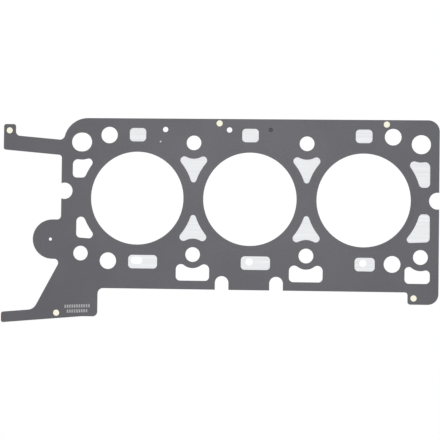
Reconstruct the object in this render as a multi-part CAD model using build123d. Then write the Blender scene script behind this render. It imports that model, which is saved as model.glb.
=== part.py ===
from build123d import *
import os
from math import atan2, degrees, sqrt

# Cylinder head gasket for one bank of a V6 engine, stamped from two layers of steel.
# X runs along the crankshaft and Z from the engine block up to the cylinder head.
# The origin is on the middle cylinder's axis, in the face that lies on the block.
# All sizes are millimetres.

# --- Cylinders and head bolts -------------------------------------------------
bore_radius = 41.25          # combustion opening, a little wider than the cylinder
bore_bridge = 17.5           # steel between one bore and the next
bolt_row_gap = 8.25          # the head bolts stand this much further out than the bores reach
bolt_hole_radius = 6.5       # clears an M11 head bolt
dowel_hole_radius = 8.4      # the two upper corner holes sit over locating dowels
dowel_slot_length = 1.2      # the left dowel hole is this much longer than it is wide

# --- The stack, from the block side up ----------------------------------------
carrier_thickness = 0.5      # the flat sheet on the block side
bead_height = 0.2            # the beads hold the two sheets this far apart
sheet_thickness = 0.25       # the beaded, rubber-coated sheet on the head side
bead_width = 3.0
bead_crest = 1.0             # the flat crest of a bead, which presses on the carrier
bead_offset = 3.9            # from the edge of a bore to the middle of its bead
stopper_thickness = 0.12     # the welded ring that limits how far a bead is squeezed
stopper_inset = 0.15         # the ring keeps back from the edge of the bore
stopper_sides = 40
bead_clearance = 0.3         # between the ring and the foot of the bead

# --- Steel left around the bores and holes ------------------------------------
bore_land = 9.0              # from a bore to the coolant windows beside it
port_land = 9.15             # from a bore to the ports over and under it
bolt_land = 7.6              # from a bolt hole to the coolant windows
saddle_land = 5.55           # from a bolt hole to the oil drain below it
dowel_land = 7.3             # from a dowel hole to the coolant window below it
left_bolt_land = 7.25        # from the lower left bolt hole to the window above it
right_bolt_land = 6.5        # from the lower right bolt hole to the window above it
left_notch_land = 4.7        # from the left notch to the window above it
right_notch_land = 4.25      # from the right notch to the windows above and below it

# --- Edges of the deck, from the outer bolt columns and the bolt rows ---------
left_margin = 17.9
right_margin = 15.9
top_margin = 21.4
bottom_margin = 30.8
top_right_radius = 10.0
top_left_radius = 21.5
top_left_centre = 5.3        # how far right of the left dowel the big corner is centred

# --- Notches and slots in the edges -------------------------------------------
left_notch_radius = 7.25
left_notch_inset = 2.75
left_notch_height = 5.85     # over the line of cylinders
right_notch_radius = 7.4
right_notch_outset = 1.4
slot_spacing = 48.0
slot_width = 12.0
slot_depth = 12.1

# --- Foot at the lower right --------------------------------------------------
foot_width = 26.8
foot_drop = 10.6
foot_outer_radius = 9.5
foot_inner_radius = 2.4

# --- Upper arm, over the timing cover -----------------------------------------
upper_arm_reach = 70.4       # from the left bolt column to the end of the arm
upper_arm_slope = 5.0        # degrees
upper_arm_top = 1.8          # height of its upper edge over the bolt row, at the deck
upper_arm_width = 13.6
upper_arm_root_radius = 4.5
upper_arm_underside_radius = 2.75
tab_width = 10.7
tab_rise = 15.55             # from the bolt row to the top of the tab
tab_root_radius = 4.0
arm_corner = 2.0             # the corners at the ends of both arms

# --- Lobe at the left ---------------------------------------------------------
lobe_radius = 17.55
lobe_offset = 25.45          # from the left bolt column to the middle of the lobe
lobe_rise = 12.15            # from the lower bolt row to the middle of the lobe
lobe_root_radius = 3.5
lobe_hole_radius = 1.4
lobe_hole_shift = 1.75

# --- Lower wing and arm -------------------------------------------------------
wing_right = 15.7            # from the left bolt column to the wing's right side
wing_drop = 25.2             # from the deck's lower edge to the wing's lower edge
wing_root_radius = 5.0
wing_corner = 4.2
wing_edge_slope = 62.0       # degrees, of the wing's long slanting edge
wing_edge_foot = (38.3, 11.6)  # it meets the arm this far left of the bolts and over the wing
wing_edge_radius = 9.0
lower_arm_reach = 70.65
lower_arm_slope = 5.1        # degrees
lower_arm_start = 2.5        # its underside begins this far right of the left bolt column
lower_arm_blend = 20.0
lower_arm_width = 9.39

# --- Coolant windows ----------------------------------------------------------
window_lobe_spare = 0.5      # a lobe's radius is this much over half the space between the lands
window_tip_radius = 2.55
side_window_radius = 3.6
dowel_side_radius = 4.5      # the corners under the dowel holes
left_tip_radius = 4.1        # the long upper tip of the lower left window
right_tip_radius = 2.9       # the long lower tip of the lower right window
left_upper_outset = 8.0      # from the left bolt column to the window's outer side
left_lower_outset = 4.15
left_lower_slope = 4.0       # degrees, of the window's lower side
right_window_outset = 7.95
right_lower_slope = 2.5

# --- Oil drains below the lower bolts -----------------------------------------
drain_half_width = 14.8
drain_depth = 23.15
drain_upper_radius = 4.6
drain_lower_radius = 3.75
right_drain_outset = 8.35
right_drain_inset = 13.7
right_drain_upper_radius = 3.7

# --- Rounded coolant ports over and under each cylinder -----------------------
port_height = 12.0
port_half_width = 7.35
port_radius = 3.4
lower_port_widths = (25.85, 25.85, 17.7)

# --- Round passages and small holes -------------------------------------------
passage_inset = 24.6         # from the outer bolt columns
passage_rise = 6.4           # outward from the bolt rows
passage_radius = 7.35
small_hole_margin = 9.7      # from the deck's upper edge
small_hole_shifts = (-25.4, 31.4)  # from the second bolt column
small_hole_radius = 2.4
witness_hole_shift = (20.2, 0.95)  # from the first cylinder and the bolt row
witness_hole_radius = 0.7    # a pinhole in the coated sheet alone
pip_shift = 17.9             # a small pip, right of the middle cylinder
pip_margin = 9.4             # from the deck's upper edge
pip_radius = 1.9
pip_floor_radius = 1.4

# --- Metering holes in the carrier --------------------------------------------
metering_shift = 1.1         # from the middle of a lower port towards its cylinder
metering_radius = 3.2
metering_slot_length = 4.2

# --- Eyelets that rivet the sheets together -----------------------------------
eyelet_flange_radius = 2.75
eyelet_barrel_radius = 1.9
eyelet_bore_radius = 1.4
eyelet_flange_thickness = 0.15
eyelet_setback = 0.05        # the flanges lie this far below the gasket's faces
eyelet_play = 0.1
dish_slope_width = 0.6       # the sloping rim of the dish that takes an upper flange
tab_eyelet = (5.1, 5.65)     # from the tab's left side and top
foot_eyelet = (5.2, 5.5)     # from the foot's left side and bottom
wing_eyelet = (21.0, 2.75)   # left of the outer bolts, and over the wing's lower edge
deck_eyelet_margin = 3.95    # from the deck's upper edge
deck_eyelet_shifts = (-27.5, 19.7)  # from the middle cylinder and from the right one
small_sides = 12             # rivets, pips and pinholes have twelve sides, to stay light

# --- Worked out from the sizes above ------------------------------------------
bore_pitch = 2 * bore_radius + bore_bridge
bolt_row = bore_radius + bolt_row_gap
bores = [bore_pitch * step for step in (-1, 0, 1)]
bolts = [bore_pitch * step for step in (-1.5, -0.5, 0.5, 1.5)]
left_column = bolts[0]
right_column = bolts[-1]
deck_left = left_column - left_margin
deck_right = right_column + right_margin
deck_top = bolt_row + top_margin
deck_bottom = -bolt_row - bottom_margin
tab_top = bolt_row + tab_rise
tab_left = left_column - upper_arm_reach
foot_left = deck_right - foot_width
foot_bottom = deck_bottom - foot_drop
wing_bottom = deck_bottom - wing_drop
lobe = Vector(left_column - lobe_offset, lobe_rise - bolt_row)
port_row = bore_radius + port_land + port_height / 2

sheet_bottom = carrier_thickness + bead_height
gasket_thickness = sheet_bottom + sheet_thickness

eyelet_places = [
    (tab_left + tab_eyelet[0], tab_top - tab_eyelet[1]),
    (bores[1] + deck_eyelet_shifts[0], deck_top - deck_eyelet_margin),
    (bores[2] + deck_eyelet_shifts[1], deck_top - deck_eyelet_margin),
    (foot_left + foot_eyelet[0], foot_bottom + foot_eyelet[1]),
    (left_column - wing_eyelet[0], wing_bottom + wing_eyelet[1]),
]
witness_hole = (bores[0] + witness_hole_shift[0], bolt_row + witness_hole_shift[1])
pip_place = (bores[1] + pip_shift, deck_top - pip_margin)


class Straight:
    """A straight wall through a point. The area it bounds lies to the left of its heading."""

    def __init__(self, point, heading):
        self.point = Vector(*point)
        self.along = Vector(1, 0).rotate(Axis.Z, heading)
        self.inward = Vector(0, 1).rotate(Axis.Z, heading)

    def foot(self, centre):
        return centre - self.inward * (centre - self.point).dot(self.inward)

    def edge(self, start, end):
        return Line(start, end)


class Round:
    """A wall on a circle. The area it bounds lies outside the circle, or inside if it bulges."""

    def __init__(self, centre, radius, bulges=False):
        self.centre = Vector(*centre)
        self.radius = radius
        self.bulges = bulges

    def reach(self, corner):
        return self.radius - corner if self.bulges else self.radius + corner

    def foot(self, centre):
        return self.centre + (centre - self.centre).normalized() * self.radius

    def edge(self, start, end):
        return arc(self.centre, start, end, self.bulges)


def arc(centre, start, end, anticlockwise):
    """The arc about a centre from one point to another."""
    first = degrees(atan2(start.Y - centre.Y, start.X - centre.X))
    last = degrees(atan2(end.Y - centre.Y, end.X - centre.X))
    turn = (last - first) % 360 if anticlockwise else -((first - last) % 360)
    return CenterArc(centre, (start - centre).length, first, turn)


def corner_centre(before, after, corner):
    """The centre of the circle that rounds the corner between two walls.

    It lies the corner's radius inside both walls. A negative radius rounds an inner corner,
    whose circle lies outside both walls.
    """
    if isinstance(before, Straight) and isinstance(after, Straight):
        # Each wall, moved inward by the radius, is a line, and the two lines are crossed.
        start = before.point + before.inward * corner
        gap = (after.point + after.inward * corner - start).dot(after.inward)
        return start + before.along * (gap / before.along.dot(after.inward))
    if isinstance(before, Round) and isinstance(after, Round):
        # Two circles cross on either side of their line of centres, and the left one is right.
        between = after.centre - before.centre
        near, far = before.reach(corner), after.reach(corner)
        step = (near**2 - far**2 + between.length**2) / (2 * between.length)
        unit = between.normalized()
        side = unit.rotate(Axis.Z, 90) * sqrt(max(near**2 - step**2, 0))
        return before.centre + unit * step + side
    # A line and a circle: the corner comes before the circle on the way in, and after it on
    # the way out.
    if isinstance(before, Straight):
        wall, ring, way = before, after, -1
    else:
        wall, ring, way = after, before, 1
    offset = (ring.centre - wall.point).dot(wall.inward) - corner
    half = sqrt(max(ring.reach(corner) ** 2 - offset**2, 0))
    return ring.centre - wall.inward * offset + wall.along * (half * way)


def area(walls, corners):
    """The flat area inside walls that are listed anticlockwise.

    Each corner's radius belongs to the wall before it and the wall after it.
    """
    pairs = list(zip(walls, walls[1:] + walls[:1], corners))
    centres = [corner_centre(*pair) for pair in pairs]
    edges = []
    for index, (wall, following, corner) in enumerate(pairs):
        start = wall.foot(centres[index - 1])
        end = wall.foot(centres[index])
        edges.append(wall.edge(start, end))
        if corner:
            edges.append(arc(centres[index], end, following.foot(centres[index]), corner > 0))
    return make_face(edges)


def walls_of_outline():
    """The outer edge, anticlockwise from the deck's lower edge, as (wall, corner after it)."""
    bottom = Straight((0, deck_bottom), 0)
    right = Straight((deck_right, 0), 90)
    left = Straight((deck_left, 0), 270)

    route = []
    for middle in (-slot_spacing / 2, slot_spacing / 2):
        slot_end = Round((middle, deck_bottom + slot_depth - slot_width / 2), slot_width / 2)
        route += [
            (bottom, 0),
            (Straight((middle - slot_width / 2, 0), 90), 0),
            (slot_end, 0),
            (Straight((middle + slot_width / 2, 0), 270), 0),
        ]

    big_corner = (left_column + top_left_centre, deck_top - top_left_radius)
    route += [
        (bottom, -foot_inner_radius),
        (Straight((foot_left, 0), 270), foot_inner_radius),
        (Straight((0, foot_bottom), 0), foot_outer_radius),
        (right, 0),
        (Round((deck_right - right_notch_outset, 0), right_notch_radius), 0),
        (right, top_right_radius),
        (Straight((0, deck_top), 180), 0),
        (Round(big_corner, top_left_radius, bulges=True), -upper_arm_root_radius),
    ]

    arm_top = bolt_row + upper_arm_top
    arm_bottom = arm_top - upper_arm_width
    left_notch = (deck_left + left_notch_inset, left_notch_height)
    route += [
        (Straight((deck_left, arm_top), 180 - upper_arm_slope), -tab_root_radius),
        (Straight((tab_left + tab_width, 0), 90), arm_corner),
        (Straight((0, tab_top), 180), arm_corner),
        (Straight((tab_left, 0), 270), arm_corner),
        (Straight((deck_left, arm_bottom), -upper_arm_slope), -upper_arm_underside_radius),
        (left, 0),
        (Round(left_notch, left_notch_radius), 0),
        (left, -lobe_root_radius),
    ]

    wing_foot = (left_column - wing_edge_foot[0], wing_bottom + wing_edge_foot[1])
    underside = Straight((left_column + lower_arm_start, wing_bottom), lower_arm_slope)
    upper_side = underside.point + underside.inward * lower_arm_width
    route += [
        (Straight((0, lobe.Y + lobe_radius), 180), 0),
        (Round(lobe, lobe_radius, bulges=True), 0),
        (Straight((0, lobe.Y - lobe_radius), 0), -lobe_root_radius),
        (Straight(wing_foot, 180 + wing_edge_slope), -wing_edge_radius),
        (Straight(upper_side, 180 + lower_arm_slope), arm_corner),
        (Straight((left_column - lower_arm_reach, 0), 270), arm_corner),
        (underside, -lower_arm_blend),
        (Straight((0, wing_bottom), 0), wing_corner),
        (Straight((left_column + wing_right, 0), 90), -wing_root_radius),
    ]
    return route


def coolant_window(middle):
    """The three-sided window between two bores and the bolt hole above them."""
    reach = bore_radius + bore_land
    bolt_reach = bolt_hole_radius + bolt_land
    walls = [
        Round((middle + bore_pitch / 2, 0), reach),
        Round((middle, bolt_row), bolt_reach),
        Round((middle - bore_pitch / 2, 0), reach),
    ]
    between_lands = Vector(bore_pitch / 2, bolt_row).length - reach - bolt_reach
    lobe_corner = between_lands / 2 + window_lobe_spare
    return area(walls, [lobe_corner, lobe_corner, window_tip_radius])


def left_windows():
    """The two open coolant windows at the left end, beside the first bore."""
    beside = Round((bores[0], 0), bore_radius + bore_land)
    upper_floor = left_notch_height + left_notch_radius + left_notch_land
    upper_walls = [
        Straight((0, upper_floor), 0),
        beside,
        Round((left_column, bolt_row), dowel_hole_radius + dowel_land),
        Straight((left_column - left_upper_outset, 0), 270),
    ]
    lower_floor = bolt_hole_radius + left_bolt_land - bolt_row
    lower_walls = [
        Straight((left_column, lower_floor), -left_lower_slope),
        beside,
        Straight((left_column - left_lower_outset, 0), 270),
    ]
    plain = side_window_radius
    return [
        area(upper_walls, [plain, plain, dowel_side_radius, plain]),
        area(lower_walls, [plain, left_tip_radius, plain]),
    ]


def right_windows():
    """The two coolant windows at the right end, over and under the right notch."""
    beside = Round((bores[-1], 0), bore_radius + bore_land)
    end = Straight((right_column + right_window_outset, 0), 90)
    notch_reach = right_notch_radius + right_notch_land
    upper_walls = [
        Straight((0, notch_reach), 0),
        end,
        Round((right_column, bolt_row), dowel_hole_radius + dowel_land),
        beside,
    ]
    lower_floor = bolt_hole_radius + right_bolt_land - bolt_row
    lower_walls = [
        Straight((right_column, lower_floor), right_lower_slope),
        end,
        Straight((0, -notch_reach), 180),
        beside,
    ]
    plain = side_window_radius
    return [
        area(upper_walls, [plain, dowel_side_radius, plain, plain]),
        area(lower_walls, [plain, plain, plain, right_tip_radius]),
    ]


def oil_drain(middle, left, right, upper):
    """The saddle-shaped drain below a bolt hole, from so far left of it to so far right."""
    walls = [
        Straight((0, -bolt_row - drain_depth), 0),
        Straight((middle + right, 0), 90),
        Round((middle, -bolt_row), bolt_hole_radius + saddle_land),
        Straight((middle - left, 0), 270),
    ]
    return area(walls, [drain_lower_radius, upper, upper, drain_lower_radius])


def port(bore, width, row):
    """A rectangular port with rounded corners, whose left side lines up under each cylinder."""
    middle = (bore - port_half_width + width / 2, row)
    return Pos(*middle) * RectangleRounded(width, port_height, port_radius)


def hole(place, radius):
    return Pos(*place) * Circle(radius)


def rings(places, radius):
    return [hole(place, radius) for place in places]


def small_round(place, radius):
    """A round too small to need a true circle."""
    return Pos(*place) * RegularPolygon(radius, small_sides)


def small_disc(place, radius, bottom, top):
    return Pos(0, 0, bottom) * extrude(small_round(place, radius), top - bottom)


def bead(bore, foot):
    """The ring that a bead's hollow or crest fills, hanging from a plane at a height."""
    middle = bore_radius + bead_offset
    profile = Polyline(
        (middle - bead_width / 2, 0),
        (middle - bead_crest / 2, -bead_height),
        (middle + bead_crest / 2, -bead_height),
        (middle + bead_width / 2, 0),
        close=True,
    )
    return Pos(bore, 0, foot) * revolve(Plane.XZ * make_face(profile), Axis.Z)


def dish(place, foot, rim, floor):
    """The small round that a dish's hollow or crest fills, hanging from a plane at a height."""
    wide = Pos(0, 0, foot) * small_round(place, rim)
    narrow = Pos(0, 0, foot - bead_height) * small_round(place, floor)
    return loft([narrow, wide], ruled=True)


outline = area(*zip(*walls_of_outline()))

corners = [(x, y) for x in bolts for y in (-bolt_row, bolt_row)]
dowels = [(left_column, bolt_row), (right_column, bolt_row)]
bolt_places = [corner for corner in corners if corner not in dowels]
passages = [
    (side * (right_column - passage_inset), height * (bolt_row + passage_rise))
    for side in (-1, 1)
    for height in (-1, 1)
]
small_holes = [(bolts[1] + shift, deck_top - small_hole_margin) for shift in small_hole_shifts]

# Openings that go through both sheets.
through = rings([(x, 0) for x in bores], bore_radius)
through += rings(bolt_places, bolt_hole_radius)
through += rings(passages, passage_radius)
through += rings(small_holes, small_hole_radius)
through.append(hole((lobe.X - lobe_hole_shift, lobe.Y), lobe_hole_radius))
through.append(hole(dowels[1], dowel_hole_radius))
through.append(Pos(*dowels[0]) * SlotCenterToCenter(dowel_slot_length, 2 * dowel_hole_radius))
through += [small_round(place, eyelet_barrel_radius + eyelet_play) for place in eyelet_places]
through += left_windows()
for x in bolts[1:-1]:
    through.append(oil_drain(x, drain_half_width, drain_half_width, drain_upper_radius))
through.append(
    oil_drain(right_column, right_drain_inset, right_drain_outset, right_drain_upper_radius)
)

# Openings in the coated sheet alone. The carrier shows through them.
windows = [coolant_window(middle) for middle in bolts[1:-1]]
windows += [mirror(window, Plane.XZ) for window in windows]
windows += right_windows()
windows += [port(bore, 2 * port_half_width, port_row) for bore in bores]
windows += [port(bore, width, -port_row) for bore, width in zip(bores, lower_port_widths)]
windows.append(small_round(witness_hole, witness_hole_radius))

# Metering holes in the carrier, which let a little coolant past under the lower ports.
metering_row = metering_shift - port_row
metering_slot = SlotCenterToCenter(metering_slot_length, 2 * metering_radius)
metering = [Pos(bores[0], metering_row) * metering_slot]
metering += rings([(bore, metering_row) for bore in bores[1:]], metering_radius)


# Dishes in the coated sheet, as (place, rim radius, floor radius): one takes the upper flange of
# each eyelet, and the pip is a smaller one with nothing in it.
seat_radius = eyelet_flange_radius + eyelet_play
dishes = [(place, seat_radius + dish_slope_width, seat_radius) for place in eyelet_places]
dishes.append((pip_place, pip_radius, pip_floor_radius))


def head_side_layer():
    """The coated sheet: flat, and pressed down to the carrier in its beads and dishes."""
    sheet = Pos(0, 0, sheet_bottom) * extrude(outline - windows, sheet_thickness)
    for bore in bores:
        sheet += bead(bore, sheet_bottom)
        sheet -= bead(bore, gasket_thickness)
    for place, rim, floor in dishes:
        sheet += dish(place, sheet_bottom, rim, floor)
        sheet -= dish(place, gasket_thickness, rim, floor)
    return sheet - [extrude(opening, gasket_thickness) for opening in through]


def carrier_layer():
    """The flat steel sheet on the block side, closed under the coolant windows."""
    sheet = extrude(outline - through - metering, carrier_thickness)
    recess = eyelet_setback + eyelet_flange_thickness
    return sheet - [small_disc(place, seat_radius, 0, recess) for place in eyelet_places]


def stopper_ring(bore):
    """A thin ring welded to the carrier, between a bore and its bead."""
    inner = bore_radius + stopper_inset
    outer = bore_radius + bead_offset - bead_width / 2 - bead_clearance
    ring = RegularPolygon(outer, stopper_sides) - RegularPolygon(inner, stopper_sides)
    return Pos(bore, 0, carrier_thickness) * extrude(ring, stopper_thickness)


def eyelet(place):
    """A hollow rivet. Its upper flange presses the coated sheet down onto the carrier."""
    low = eyelet_setback
    high = carrier_thickness + sheet_thickness + eyelet_flange_thickness
    rivet = small_disc(place, eyelet_barrel_radius, low, high)
    rivet += small_disc(place, eyelet_flange_radius, low, low + eyelet_flange_thickness)
    rivet += small_disc(place, eyelet_flange_radius, high - eyelet_flange_thickness, high)
    return rivet - small_disc(place, eyelet_bore_radius, low, high)


nodes = {"head_side_layer": head_side_layer(), "carrier_layer": carrier_layer()}
for number, bore in enumerate(bores, 1):
    nodes[f"stopper_ring_{number}"] = stopper_ring(bore)
for number, place in enumerate(eyelet_places, 1):
    nodes[f"eyelet_{number}"] = eyelet(place)

os.makedirs("parts", exist_ok=True)
for name, solid in nodes.items():
    export_step(solid, f"parts/{name}.step")
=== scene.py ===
# %% [markdown]
# # A cylinder head gasket
#
# A head gasket seals the joint between an engine's block and its cylinder head. This one is two sheets
# of stamped steel, held together with brass eyelets. The upper sheet is sprayed with a thin coat of
# rubber. The lower one is bare on top, so it shines through the windows that are cut in the upper one.
#
# The two sheets, with every hole in them, come from the CAD model, which this lesson loads and never
# moves. Blender gives them their look of rubber and rolled steel, and adds closed brass eyelets and a
# little printing ink.

# %% Load the CAD model
import bpy
import numpy as np
from mathutils import Euler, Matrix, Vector


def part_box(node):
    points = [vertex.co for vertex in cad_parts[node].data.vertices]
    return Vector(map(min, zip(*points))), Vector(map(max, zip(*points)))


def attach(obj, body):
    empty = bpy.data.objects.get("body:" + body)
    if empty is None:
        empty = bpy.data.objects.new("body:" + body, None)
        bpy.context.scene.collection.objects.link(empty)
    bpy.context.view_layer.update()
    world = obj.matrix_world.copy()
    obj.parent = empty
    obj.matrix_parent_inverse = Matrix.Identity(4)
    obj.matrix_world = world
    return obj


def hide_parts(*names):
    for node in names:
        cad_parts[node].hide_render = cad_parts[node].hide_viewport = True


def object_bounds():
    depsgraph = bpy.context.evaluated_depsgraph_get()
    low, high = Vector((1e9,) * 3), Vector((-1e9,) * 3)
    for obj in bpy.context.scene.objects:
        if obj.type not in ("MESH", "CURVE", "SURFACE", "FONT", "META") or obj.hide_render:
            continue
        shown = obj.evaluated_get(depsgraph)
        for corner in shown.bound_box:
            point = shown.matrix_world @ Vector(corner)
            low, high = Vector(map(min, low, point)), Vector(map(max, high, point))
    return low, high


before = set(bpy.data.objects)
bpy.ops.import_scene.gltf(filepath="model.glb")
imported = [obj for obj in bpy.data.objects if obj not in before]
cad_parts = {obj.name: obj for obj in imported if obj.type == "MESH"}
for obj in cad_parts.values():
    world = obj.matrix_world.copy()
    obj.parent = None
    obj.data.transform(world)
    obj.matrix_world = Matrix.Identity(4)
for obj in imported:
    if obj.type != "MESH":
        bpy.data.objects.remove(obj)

MM = 0.001
cad_box = [list(corner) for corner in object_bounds()]
print("CAD nodes:", sorted(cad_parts))
print("CAD box in mm:", [[round(value / MM, 2) for value in corner] for corner in cad_box])

# %% [markdown]
# ## Colours and shader nodes
#
# A colour picked from a colour chart is an sRGB hex value. Blender's shaders work in linear light, so
# one function turns each colour to linear, and the rest of the lesson can be written in hex. A second
# small function adds a node, which keeps each material short enough to read in one go.

# %% Two helpers
def linear(hex_colour):
    """A linear RGBA colour. Each sRGB channel c becomes ((c + 0.055) / 1.055) to the power 2.4."""
    channels = [int(hex_colour[place:place + 2], 16) / 255 for place in (1, 3, 5)]
    curved = [c / 12.92 if c <= 0.04045 else ((c + 0.055) / 1.055) ** 2.4 for c in channels]
    return (*curved, 1.0)


def add(tree, kind, inputs=None, **settings):
    """Adds a node. Each input is a value, or the socket of another node that feeds it."""
    node = tree.nodes.new("ShaderNode" + kind)
    for name, value in settings.items():
        setattr(node, name, value)
    for name, value in (inputs or {}).items():
        if isinstance(value, bpy.types.NodeSocket):
            tree.links.new(value, node.inputs[name])
        else:
            node.inputs[name].default_value = value
    return node


def new_material(name):
    """An empty material, with its node tree and its Principled shader."""
    material = bpy.data.materials.new(name)
    material.use_nodes = True
    return material, material.node_tree, material.node_tree.nodes["Principled BSDF"]


print("Mid grey #808080 is", round(linear("#808080")[0], 3), "in linear light")

# %% [markdown]
# ## Mottle
#
# No real finish is one flat colour. Rubber has a skin, steel has rolling lines and ink wears thin. All
# of them are drawn here by one helper: a noise whose grain is a real size in millimetres, which moves
# the colour between a dark and a light one. Noise gathers near its middle, so only the middle of its
# range is spread over the whole step from dark to light.

# %% Mottle
DARK_UP_TO, LIGHT_FROM = 0.35, 0.65


def mottle(tree, place, grain, dark, light, detail=3.0):
    """A noise of the given grain, and its colour: dark up to DARK_UP_TO, light from LIGHT_FROM."""
    noise = add(tree, "TexNoise", {"Vector": place, "Scale": 1 / grain, "Detail": detail}).outputs["Fac"]
    spread = add(tree, "MapRange", {0: noise, 1: DARK_UP_TO, 2: LIGHT_FROM}).outputs[0]
    mixed = add(tree, "Mix", {0: spread, 6: linear(dark), 7: linear(light)}, data_type="RGBA")
    return noise, mixed.outputs[2]


def plug(tree, shader, **sockets):
    """Links each socket to the shader's input of the same name, with its underscores as spaces."""
    for name, source in sockets.items():
        tree.links.new(source, shader.inputs[name.replace("_", " ")])


print("A grain of 1 mm is a noise scale of", 1 / MM)

# %% [markdown]
# ## The rubber coat
#
# The upper sheet carries about 25 micrometres of nitrile rubber, sprayed on and cured. The coat is matte,
# with a fine orange-peel skin and faint clouds where it is a little thicker. Two mottles give both: one
# of a millimetre for the skin and one of several centimetres for the clouds. The real skin is about
# 0.2 mm fine, too small to show, so it is drawn coarser here.

# %% Rubber coat
SKIN_GRAIN = 1.1 * MM
SKIN_DEPTH = 0.03 * MM
SKIN_BUMP = 0.5
SKIN_COLOURS = ("#5f5e64", "#6e6d72")
CLOUD_SIZE = 55 * MM
CLOUD_COLOURS = ("#626166", "#6b6a70")
CLOUD_SHARE = 0.5
COAT_ROUGHNESS = (0.50, 0.68)
COAT_IOR = 1.52


def coating_look(tree, place):
    """The coat's colour, roughness and bump sockets, for any material that shows the coat."""
    skin, grained = mottle(tree, place, SKIN_GRAIN, *SKIN_COLOURS)
    _, clouded = mottle(tree, place, CLOUD_SIZE, *CLOUD_COLOURS)
    colour = add(tree, "Mix", {0: CLOUD_SHARE, 6: grained, 7: clouded}, data_type="RGBA").outputs[2]
    rough = add(tree, "MapRange", {0: skin, 3: COAT_ROUGHNESS[0], 4: COAT_ROUGHNESS[1]}).outputs[0]
    relief = {"Height": skin, "Strength": SKIN_BUMP, "Distance": SKIN_DEPTH}
    bump = add(tree, "Bump", relief).outputs[0]
    return colour, rough, bump


print("Skin of", SKIN_GRAIN / MM, "mm and clouds of", CLOUD_SIZE / MM, "mm")

# %% [markdown]
# ## The painted shade round the pip
#
# A small pip is punched in near the upper edge, as a mark for the fitter. The coat is painted dark in a
# ring round it, as painted shade on the pip's sloped wall. The ring depends only on the distance from the
# pip, so it stays put on the sheet.

# %% Ring round the pip
UPPER_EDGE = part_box("head_side_layer")[1].y
PIP_PLACE = (17.9 * MM, UPPER_EDGE - 9.4 * MM, 0.8 * MM)
PIP_RING = 1.2 * MM
PIP_RING_WIDTH = 1.0 * MM
# The colour of the painted shade in the ring round the pip.
PIP_WALL_SHADE = "#1d1b1f"


def add_painted_pip_shade(tree, place, colour):
    """The colour, darkened in a ring round the pip: painted shade on the pip's sloped wall.

    The ring is 1 at the distance PIP_RING from the pip, and falls to 0 a PIP_RING_WIDTH to either side.
    """
    apart = add(tree, "VectorMath", {0: place, 1: PIP_PLACE}, operation="DISTANCE").outputs["Value"]
    beside = add(tree, "Math", {0: apart, 1: PIP_RING}, operation="SUBTRACT").outputs[0]
    off = add(tree, "Math", {0: beside}, operation="ABSOLUTE").outputs[0]
    ring = add(tree, "MapRange", {0: off, 1: 0.0, 2: PIP_RING_WIDTH, 3: 1.0, 4: 0.0}).outputs[0]
    # Painted shade: the coat turns dark in the ring, standing in for the shade on the pip's wall.
    return add(tree, "Mix", {0: ring, 6: colour, 7: linear(PIP_WALL_SHADE)}, data_type="RGBA").outputs[2]


print("Pip at", [round(value / MM, 2) for value in PIP_PLACE], "mm")

# %% [markdown]
# ## Cut edges
#
# Both sheets are finished before they are stamped out, so every cut edge is bare, dull, sheared steel.
# A cut edge is told from a face by its normal, which lies flat instead of pointing up or down.

# %% Cut edges
SHEARED_STEEL = "#98999c"
SHEARED_ROUGHNESS = 0.55
EDGE_UPRIGHT = 0.5


def cut_edge(tree):
    """1 on a sheared edge, whose normal lies flat, and 0 on a face.

    A normal lies flat where its Z is under EDGE_UPRIGHT in size, up or down.
    """
    normal = add(tree, "NewGeometry").outputs["Normal"]
    upright = add(tree, "SeparateXYZ", {0: normal}).outputs["Z"]
    size = add(tree, "Math", {0: upright}, operation="ABSOLUTE").outputs[0]
    return add(tree, "Math", {0: size, 1: EDGE_UPRIGHT}, operation="LESS_THAN").outputs[0]


def sheared(tree, colour, rough, metal):
    """The same colour, roughness and metallic sockets, with sheared steel on the cut edges."""
    edge = cut_edge(tree)
    colour = add(tree, "Mix", {0: edge, 6: colour, 7: linear(SHEARED_STEEL)}, data_type="RGBA")
    rough = add(tree, "Mix", {0: edge, 2: rough, 3: SHEARED_ROUGHNESS})
    metal = add(tree, "Math", {0: edge, 1: metal}, operation="MAXIMUM")
    return colour.outputs[2], rough.outputs[0], metal.outputs[0]


def rubber_coated_steel():
    """The coat on the faces, with painted shade round the pip, and bare steel on the cut edges."""
    material, tree, shader = new_material("rubber_coated_steel")
    place = add(tree, "TexCoord").outputs["Object"]
    colour, rough, bump = coating_look(tree, place)
    # The coat gets its painted shade round the pip here.
    colour, rough, metal = sheared(tree, add_painted_pip_shade(tree, place, colour), rough, 0.0)
    plug(tree, shader, Base_Color=colour, Roughness=rough, Metallic=metal, Normal=bump)
    shader.inputs["IOR"].default_value = COAT_IOR
    return material


coated = rubber_coated_steel()
print("Made", coated.name, "with", len(coated.node_tree.nodes), "nodes")

# %% [markdown]
# ## Bare rolled steel
#
# The lower sheet is stainless spring steel, straight from the rolling mill. The rolls leave fine lines
# along the sheet, which spread a reflection across them. Noise that is stretched far along X draws those
# lines. Real ones are too fine to show, so they are drawn half a millimetre wide. The block side of this
# sheet is coated too, and lies at height zero, so the material changes to the coat there.

# %% Bare steel
ROLLING_LINE = 0.5 * MM
ROLLING_LENGTH = 60 * MM
GROOVE_DEPTH = 0.003 * MM
GROOVE_BUMP = 0.15
STEEL_COLOURS = ("#e3e4e6", "#f4f5f8")
STEEL_ROUGHNESS = (0.30, 0.42)
COATED_UNDER = 0.01 * MM


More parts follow.
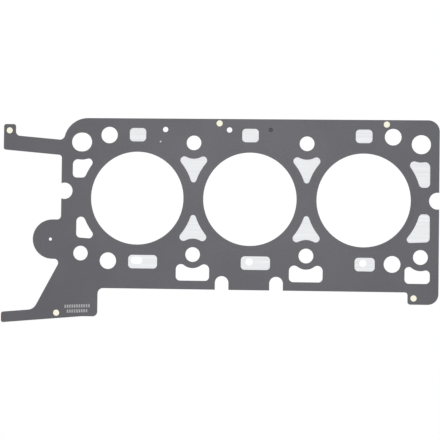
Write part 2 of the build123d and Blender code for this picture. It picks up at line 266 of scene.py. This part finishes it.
def rolled_steel():
    """Bright steel with rolling lines along X, and the coat on the block side.

    The place is divided by the lines' own length and width first, so their noise has a grain of 1.
    """
    material, tree, shader = new_material("rolled_steel")
    place = add(tree, "TexCoord").outputs["Object"]
    stretch = (1 / ROLLING_LENGTH, 1 / ROLLING_LINE, 1 / ROLLING_LINE)
    along = add(tree, "Mapping", {"Vector": place, "Scale": stretch}).outputs[0]
    lines, steel = mottle(tree, along, 1.0, *STEEL_COLOURS, detail=4.0)
    shine = add(tree, "MapRange", {0: lines, 3: STEEL_ROUGHNESS[0], 4: STEEL_ROUGHNESS[1]}).outputs[0]
    relief = {"Height": lines, "Strength": GROOVE_BUMP, "Distance": GROOVE_DEPTH}
    grooves = add(tree, "Bump", relief).outputs[0]
    coat, coat_rough, coat_bump = coating_look(tree, place)
    height = add(tree, "SeparateXYZ", {0: place}).outputs["Z"]
    under = add(tree, "Math", {0: height, 1: COATED_UNDER}, operation="LESS_THAN").outputs[0]
    bare = add(tree, "Math", {0: 1.0, 1: under}, operation="SUBTRACT").outputs[0]
    colour = add(tree, "Mix", {0: under, 6: steel, 7: coat}, data_type="RGBA").outputs[2]
    rough = add(tree, "Mix", {0: under, 2: shine, 3: coat_rough}).outputs[0]
    bump = add(tree, "Mix", {0: under, 4: grooves, 5: coat_bump}, data_type="VECTOR").outputs[1]
    colour, rough, metal = sheared(tree, colour, rough, bare)
    plug(tree, shader, Base_Color=colour, Roughness=rough, Metallic=metal, Normal=bump)
    return material


bare_steel = rolled_steel()
print("Rolling lines drawn at", ROLLING_LINE / MM, "by", ROLLING_LENGTH / MM, "mm")

# %% [markdown]
# ## Put the finishes on the CAD nodes
#
# A CAD node keeps its mesh. Only its material slot changes.

# %% Finish the sheets
for name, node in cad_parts.items():
    node.data.materials.clear()
    node.data.materials.append(coated if name == "head_side_layer" else bare_steel)
print("Finished", len(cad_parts), "nodes")

# %% [markdown]
# ## Tumbled brass
#
# The eyelets are upset from pale brass, then tumbled with stones to take off the burrs. That leaves a
# soft, bright shine with small matte marks. The stones don't reach into a dimple or under a rim, so the
# brass is duller there, and it is also painted darker there as painted shade. How deep a point lies
# below the nearer face says how much.

# %% Brass
TUMBLE_MARK = 0.35 * MM
BRASS_COLOURS = ("#f7f2d9", "#fefdec")
BRASS_ROUGHNESS = (0.25, 0.4)
# The brass colour painted into dimples and under rims, as painted shade.
DIMPLE_PAINTED_SHADE = "#f8f3de"
DIMPLE_ROUGHNESS = 0.5
DIMPLE_DEPTH = 0.12 * MM
EYELET_LOW, EYELET_HIGH = (corner.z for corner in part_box("eyelet_1"))


def below_face(tree, place):
    """0 on either face of an eyelet, and 1 from a DIMPLE_DEPTH below the nearer face.

    The depth is the smaller of two: the height over EYELET_LOW, and EYELET_HIGH less the height.
    """
    height = add(tree, "SeparateXYZ", {0: place}).outputs["Z"]
    over_low = add(tree, "Math", {0: height, 1: EYELET_LOW}, operation="SUBTRACT").outputs[0]
    under_high = add(tree, "Math", {0: EYELET_HIGH, 1: height}, operation="SUBTRACT").outputs[0]
    depth = add(tree, "Math", {0: over_low, 1: under_high}, operation="MINIMUM").outputs[0]
    return add(tree, "MapRange", {0: depth, 2: DIMPLE_DEPTH}).outputs[0]


def brass():
    """Pale yellow brass with a soft mottle, bright on its faces, duller and painted darker as painted
    shade in its dimples and under its rims.
    """
    material, tree, shader = new_material("tumbled_brass")
    place = add(tree, "TexCoord").outputs["Object"]
    tumbled, colour = mottle(tree, place, TUMBLE_MARK, *BRASS_COLOURS)
    rough = add(tree, "MapRange", {0: tumbled, 3: BRASS_ROUGHNESS[0], 4: BRASS_ROUGHNESS[1]}).outputs[0]
    deep = below_face(tree, place)
    # Painted shade: the colour darkens in dimples and under rims, as deep as the point lies.
    colour = add(tree, "Mix", {0: deep, 6: colour, 7: linear(DIMPLE_PAINTED_SHADE)}, data_type="RGBA").outputs[2]
    rough = add(tree, "Mix", {0: deep, 2: rough, 3: DIMPLE_ROUGHNESS}).outputs[0]
    plug(tree, shader, Base_Color=colour, Roughness=rough)
    shader.inputs["Metallic"].default_value = 1.0
    return material


eyelet_brass = brass()
print("Tumbling marks drawn at", TUMBLE_MARK / MM, "mm")

# %% [markdown]
# ## A turned shape
#
# An eyelet is the same all the way round, so it is enough to draw half its section once and turn it
# about an upright axis. The line starts on the axis underneath and ends on the axis on top. Cutting its
# corners twice rounds them, as the setting tool does. Each end closes in one point, with no hole.

# %% Turned shape
def rounded_line(points, rounds=2):
    """A line with its corners cut: each side keeps its points at a quarter and three quarters.

    The two ends stay where they are.
    """
    line = np.array(points, float)
    for _ in range(rounds):
        before, after = line[:-1], line[1:]
        pair = np.stack([0.75 * before + 0.25 * after, 0.25 * before + 0.75 * after], axis=1)
        line = np.concatenate([line[:1], pair.reshape(-1, 2)[1:-1], line[-1:]])
    return line


def turned(name, line, centre, material, steps=48):
    """Turns a (radius, height) line round an upright axis, and closes it in a point at either end.

    A point at angle a is centre + (radius cos a, radius sin a, height).
    """
    angle = np.linspace(0, 2 * np.pi, steps, endpoint=False)
    radius, height = line[1:-1, 0][:, None], line[1:-1, 1][:, None]
    round_it = np.stack([radius * np.cos(angle), radius * np.sin(angle), height + 0 * angle], -1)
    ends = np.array([(0, 0, line[0, 1]), (0, 0, line[-1, 1])])
    points = np.concatenate([round_it.reshape(-1, 3), ends]) + (centre[0], centre[1], 0)
    count = len(line) - 2
    grid = np.arange(count * steps).reshape(count, steps)
    turned_on = np.roll(grid, -1, axis=1)
    walls = np.stack([grid[:-1], turned_on[:-1], turned_on[1:], grid[1:]], -1).reshape(-1, 4)
    under = np.stack([turned_on[0], grid[0], np.full(steps, count * steps)], -1)
    over = np.stack([grid[-1], turned_on[-1], np.full(steps, count * steps + 1)], -1)
    faces = walls.tolist() + under.tolist() + over.tolist()
    mesh = bpy.data.meshes.new(name)
    mesh.from_pydata(points.tolist(), [], faces)
    mesh.polygons.foreach_set("use_smooth", np.ones(len(faces), bool))
    mesh.materials.append(material)
    piece = bpy.data.objects.new(name, mesh)
    bpy.context.scene.collection.objects.link(piece)
    return piece


print("Two rounds turn a corner into", len(rounded_line([(0, 0), (1, 0), (1, 1)])) - 2, "points")

# %% [markdown]
# ## The eyelets
#
# An eyelet goes through both sheets and is upset into a flange at each end. These are closed: the
# setting punch leaves only a shallow dimple in the middle. Each one takes its place, its height and its
# flange from the CAD eyelet that it replaces, which is a plain one with a hole through it.

# %% Eyelets
BARREL = 1.9 * MM
FLANGE = 0.15 * MM
LIP = 0.2 * MM
DIMPLE_FLOOR, DIMPLE_RIM = 0.35 * MM, 0.95 * MM


def eyelet_section(low, high, flange):
    """Half the section, from the axis underneath to the axis on top, as (radius, height).

    The upper half is the lower half turned over: each height becomes low + high - height.
    """
    lower = np.array([
        (0, low + DIMPLE_DEPTH), (DIMPLE_FLOOR, low + DIMPLE_DEPTH), (DIMPLE_RIM, low),
        (flange - LIP, low), (flange, low + FLANGE / 2), (flange - LIP / 2, low + FLANGE),
        (BARREL, low + FLANGE),
    ])
    upper = lower[::-1] * (1, -1) + (0, low + high)
    return rounded_line(np.concatenate([lower, upper]))


for name in sorted(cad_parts):
    if name.startswith("eyelet_"):
        low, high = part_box(name)
        section = eyelet_section(low.z, high.z, (high.x - low.x) / 2)
        piece = turned("rolled_" + name, section, (low + high) / 2, eyelet_brass)
        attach(piece, "root")
        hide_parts(name)
        print(piece.name, "at", [round(value / MM, 2) for value in (low + high) / 2])

# %% [markdown]
# ## Ink marks
#
# A maker prints a few small marks on the wing in pale ink. Here they are two rows of plain dashes, flat
# strips of ink two hundredths of a millimetre proud of the coat.

# %% Ink marks
INK_LEFT, INK_RIGHT = -164.0 * MM, -140.7 * MM
INK_ROWS = {-96.5 * MM: 11, -100.9 * MM: 9}
INK_HEIGHT = 2.8 * MM
INK_RISE = 0.04
INK_FILL = 0.64
INK_THICKNESS = 0.02 * MM
INK_SPECK = 0.9 * MM
INK_COLOURS = ("#a5a4a8", "#cfced1")
INK_ROUGHNESS = (0.75, 0.6)


def ink_dashes(material):
    """A box for each dash: its corners are its middle plus or minus half its length and its height.

    The box stands on the coat and is INK_THICKNESS thick. A dash fills INK_FILL of the step from one to
    the next. The stamp was held a little askew, so a dash stands INK_RISE higher for each metre to the
    right.
    """
    signs = np.array([(x, y, z) for z in (0, 1) for x, y in ((-1, -1), (1, -1), (1, 1), (-1, 1))], float)
    sides = np.array([(3, 2, 1, 0), (4, 5, 6, 7), (0, 1, 5, 4), (1, 2, 6, 5), (2, 3, 7, 6), (3, 0, 4, 7)])
    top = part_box("head_side_layer")[1].z
    points, faces = [], []
    pitch = (INK_RIGHT - INK_LEFT) / max(INK_ROWS.values())
    middle = (INK_LEFT + INK_RIGHT) / 2
    size = np.array([INK_FILL * pitch / 2, INK_HEIGHT / 2, INK_THICKNESS])
    for row, count in INK_ROWS.items():
        for step in range(count):
            along = (step - (count - 1) / 2) * pitch
            faces.append(sides + len(signs) * len(points))
            points.append(signs * size + (middle + along, row + INK_RISE * along, top))
    mesh = bpy.data.meshes.new("ink_dashes")
    mesh.from_pydata(np.concatenate(points).tolist(), [], np.concatenate(faces).tolist())
    mesh.materials.append(material)
    piece = bpy.data.objects.new("ink_dashes", mesh)
    bpy.context.scene.collection.objects.link(piece)
    return piece


def pale_ink():
    """Screen-printing ink, a little thin, so the coat greys it."""
    material, tree, shader = new_material("pale_ink")
    place = add(tree, "TexCoord").outputs["Object"]
    thin, colour = mottle(tree, place, INK_SPECK, *INK_COLOURS)
    rough = add(tree, "MapRange", {0: thin, 3: INK_ROUGHNESS[0], 4: INK_ROUGHNESS[1]}).outputs[0]
    plug(tree, shader, Base_Color=colour, Roughness=rough)
    return material


ink = ink_dashes(pale_ink())
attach(ink, "root")
print("Ink dashes:", sum(INK_ROWS.values()), "over", round((INK_RIGHT - INK_LEFT) / MM, 1), "mm")

# %% [markdown]
# ## The white table
#
# The gasket lies on a white table. To the camera, and in every reflection, the table is a glow of its own
# with a small diffuse share on top. The glow keeps it white, and the share darkens where the gasket
# shades it, so the gasket still sits on something. To all other light it is plain white paint.
#
# The table lies a few hundredths of a millimetre below the gasket. Two surfaces in exactly the same
# place flicker between each other, and a gap that small can't be seen.

# %% White table
GLOW = 0.9
SHADED_SHARE = 0.15
TABLE_PAINT = "#efefef"
TABLE_ROUGHNESS = 0.9
TABLE_SIZE = 6.0
TABLE_GAP = 0.03 * MM


def shown_directly(tree):
    """1 where white itself is seen: by the camera, in a reflection or through glass. Else 0."""
    path = add(tree, "LightPath").outputs
    seen = add(tree, "Math", {0: path["Is Camera Ray"], 1: path["Is Glossy Ray"]}, operation="MAXIMUM")
    through = {0: seen.outputs[0], 1: path["Is Transmission Ray"]}
    return add(tree, "Math", through, operation="MAXIMUM").outputs[0]


def white_table():
    """A glow and a diffuse share on top of it where it is seen, and plain white paint elsewhere."""
    material, tree, shader = new_material("white_table")
    shader.inputs["Base Color"].default_value = linear(TABLE_PAINT)
    shader.inputs["Roughness"].default_value = TABLE_ROUGHNESS
    glow = add(tree, "Emission", {"Color": (1, 1, 1, 1), "Strength": GLOW})
    share = add(tree, "BsdfDiffuse", {"Color": (SHADED_SHARE, SHADED_SHARE, SHADED_SHARE, 1)})
    seen = add(tree, "AddShader", {0: glow.outputs[0], 1: share.outputs[0]})
    mixed = add(tree, "MixShader", {0: shown_directly(tree), 1: shader.outputs[0], 2: seen.outputs[0]})
    tree.links.new(mixed.outputs[0], tree.nodes["Material Output"].inputs["Surface"])
    return material


def floor():
    """A square plane, a TABLE_GAP below the gasket's lowest point."""
    half, level = TABLE_SIZE / 2, cad_box[0][2] - TABLE_GAP
    corners = [(-half, -half, level), (half, -half, level), (half, half, level), (-half, half, level)]
    mesh = bpy.data.meshes.new("table")
    mesh.from_pydata(corners, [], [(0, 1, 2, 3)])
    mesh.materials.append(white_table())
    piece = bpy.data.objects.new("table", mesh)
    bpy.context.scene.collection.objects.link(piece)
    return piece


table = floor()
print("The", table.name, "is", TABLE_SIZE, "m wide and", TABLE_GAP / MM, "mm below the gasket")

# %% [markdown]
# ## Soft light
#
# Flat sheet metal wants a wide, even light, so most of it comes from a white surround. One square lamp
# hangs nearly overhead, and its light falls off towards the ends of the gasket, so the coat darkens a
# little there. The lamp is kept out of reflections. The bare steel then mirrors only the even white, as
# it would in a light tent, and doesn't burn out under the lamp.

# %% Light
SURROUND = 0.57
LAMP_PLACE = (0.005, 0.07, 0.32)
LAMP_SIZE = 0.25
LAMP_POWER = 0.45


def white_surround():
    """White to the camera and to reflections, and a dimmer white as light on everything else."""
    world = bpy.data.worlds.new("white_surround")
    world.use_nodes = True
    tree = world.node_tree
    light = tree.nodes["Background"]
    light.inputs["Color"].default_value = (1, 1, 1, 1)
    light.inputs["Strength"].default_value = SURROUND
    white = add(tree, "Background", {"Color": (1, 1, 1, 1)})
    backdrop = add(tree, "MixShader", {0: shown_directly(tree), 1: light.outputs[0], 2: white.outputs[0]})
    tree.links.new(backdrop.outputs[0], tree.nodes["World Output"].inputs["Surface"])
    return world


def soft_light(name, place, size, power):
    """A square lamp that faces the middle of the gasket and isn't mirrored in it."""
    lamp = bpy.data.lights.new(name, "AREA")
    lamp.size = size
    lamp.energy = power
    piece = bpy.data.objects.new(name, lamp)
    piece.location = place
    piece.rotation_euler = (-Vector(place)).to_track_quat("-Z", "Y").to_euler()
    piece.visible_glossy = False
    bpy.context.scene.collection.objects.link(piece)
    return piece


bpy.context.scene.world = white_surround()
key = soft_light("key_light", LAMP_PLACE, LAMP_SIZE, LAMP_POWER)
print("Surround", SURROUND, "and one lamp", round(key.location.length, 2), "m away")

# %% [markdown]
# ## Camera
#
# The camera looks almost straight down. Its lens is given as a focal length in points of the frame, which
# the sensor's width turns into millimetres: lens = sensor times focal points, over the frame's width.

# %% Camera
CAMERA_TILT = Euler((-0.016844695, -0.045368322, -0.012152678), "ZYX")
CAMERA_OFFSET = Vector((26.29876, 18.348828, -883.36976)) * MM
FOCAL_PIXELS = 1000
FRAME_PIXELS = 440
SENSOR_WIDTH = 36

camera = bpy.data.objects.new("camera", bpy.data.cameras.new("camera"))
camera.data.sensor_width = SENSOR_WIDTH
camera.data.lens = SENSOR_WIDTH * FOCAL_PIXELS / FRAME_PIXELS
turn = CAMERA_TILT.to_matrix().transposed()
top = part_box("head_side_layer")[1].z
camera.location = turn @ -CAMERA_OFFSET + Vector((0, 0, top))
camera.rotation_euler = turn.to_euler()
bpy.context.scene.collection.objects.link(camera)
bpy.context.scene.camera = camera
bpy.context.scene.view_settings.view_transform = "Standard"
print("Camera at", [round(value / MM, 1) for value in camera.location])
